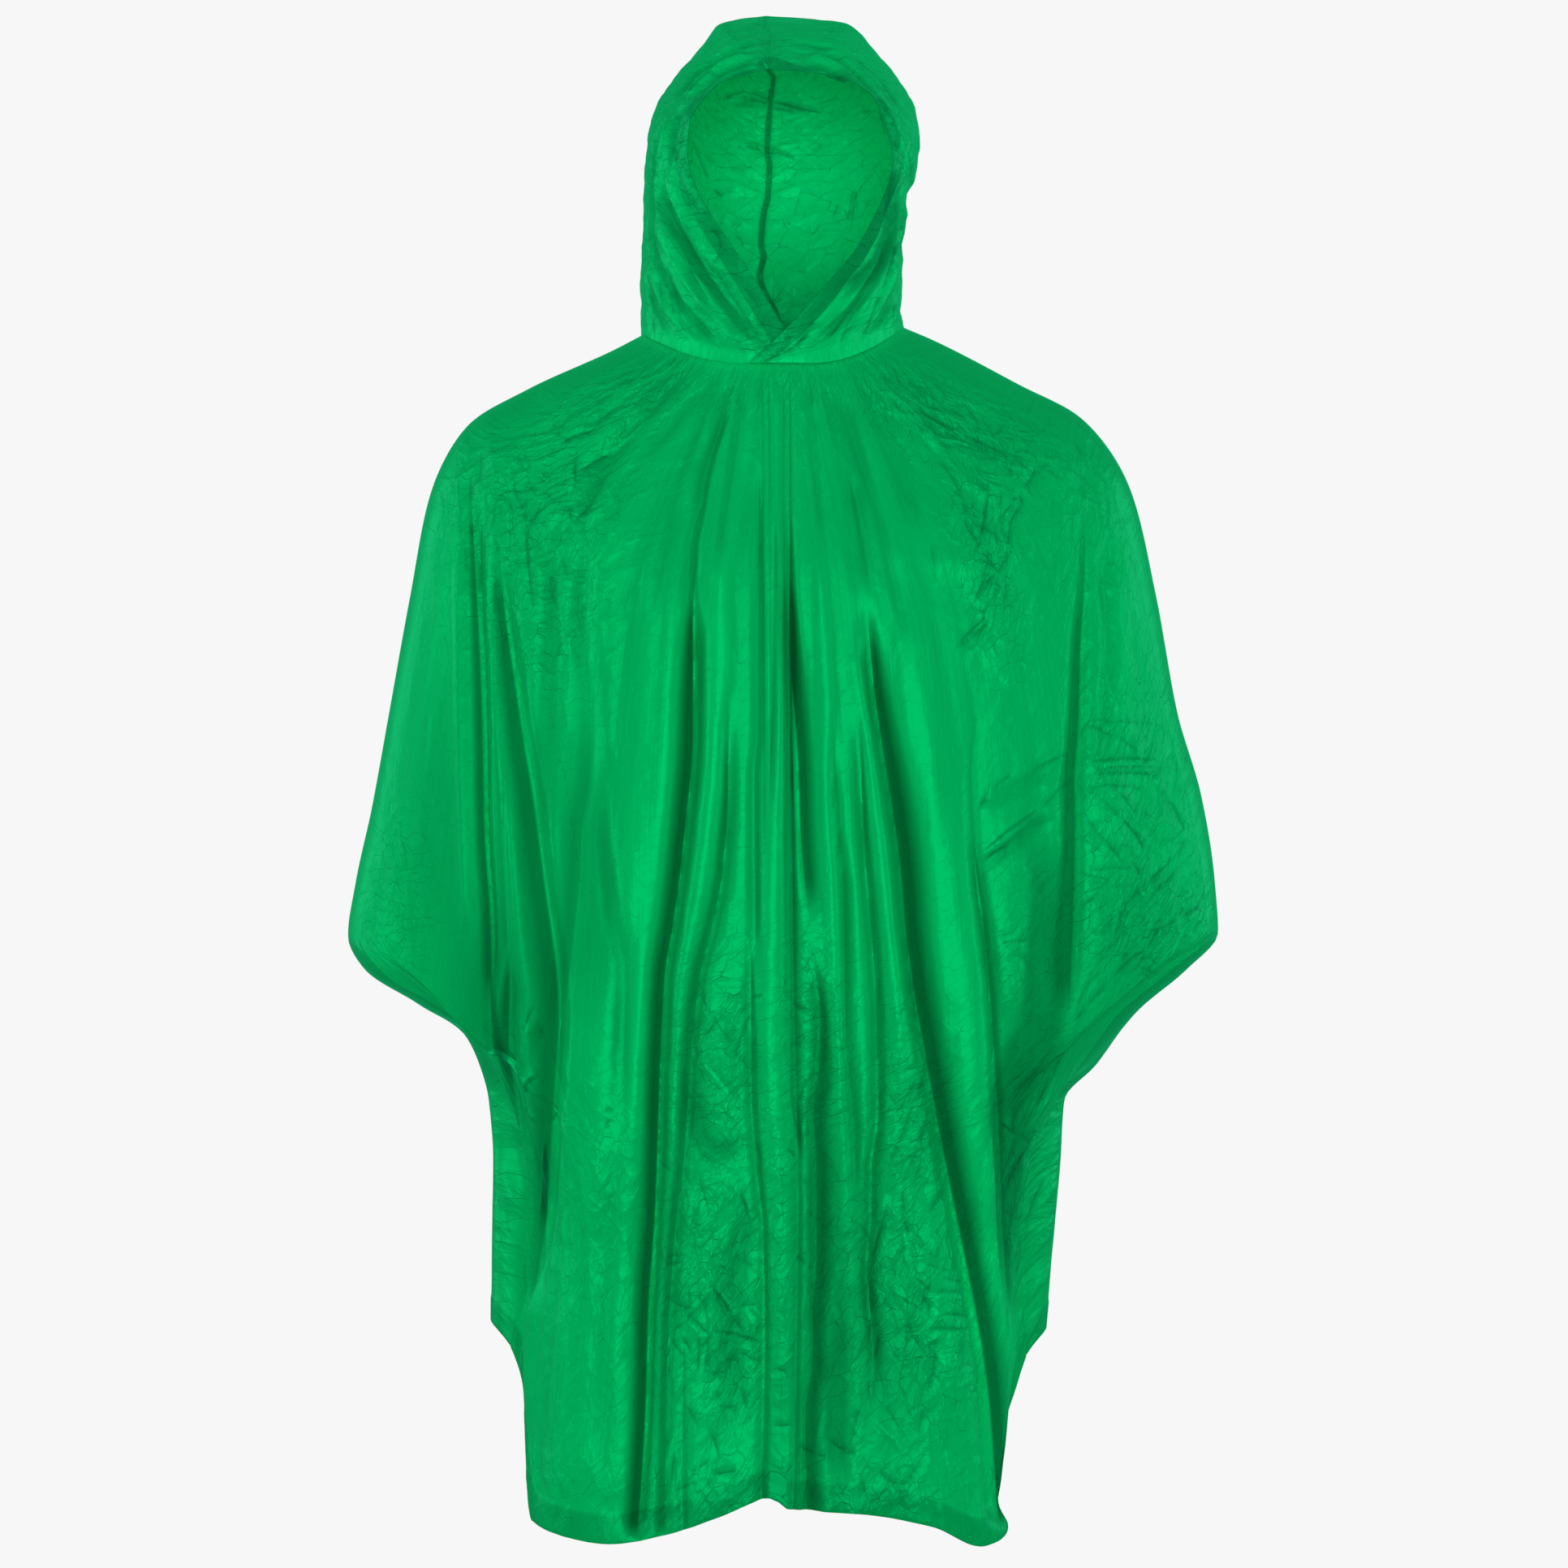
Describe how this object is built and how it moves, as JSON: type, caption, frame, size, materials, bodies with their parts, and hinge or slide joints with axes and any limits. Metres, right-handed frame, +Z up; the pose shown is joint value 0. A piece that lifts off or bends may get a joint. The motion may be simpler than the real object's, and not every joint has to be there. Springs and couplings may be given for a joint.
{
  "type": "rain poncho",
  "caption": "Hooded pull-over rain poncho of thin glossy green vinyl film, hollow as when worn, with wide open sleeves cut in one with the body and a hood lapped under the chin.",
  "frame": {"origin": "middle of the neck, level with the top of the shoulders, where the wearer carries the garment", "axes": "+Z up, the front of the garment faces -Y, the wearer's left is at +X"},
  "size_m": [0.6835, 0.2973, 1.1846],
  "materials": {
    "film": "glossy, slightly see-through vinyl film with soft creases",
    "hood_film": "the same glossy vinyl film, with a turned hem round the face"
  },
  "bodies": {
    "root": {"front": "film", "back": "film", "hood_left": "hood_film", "hood_right": "hood_film"}
  },
  "joints": []
}
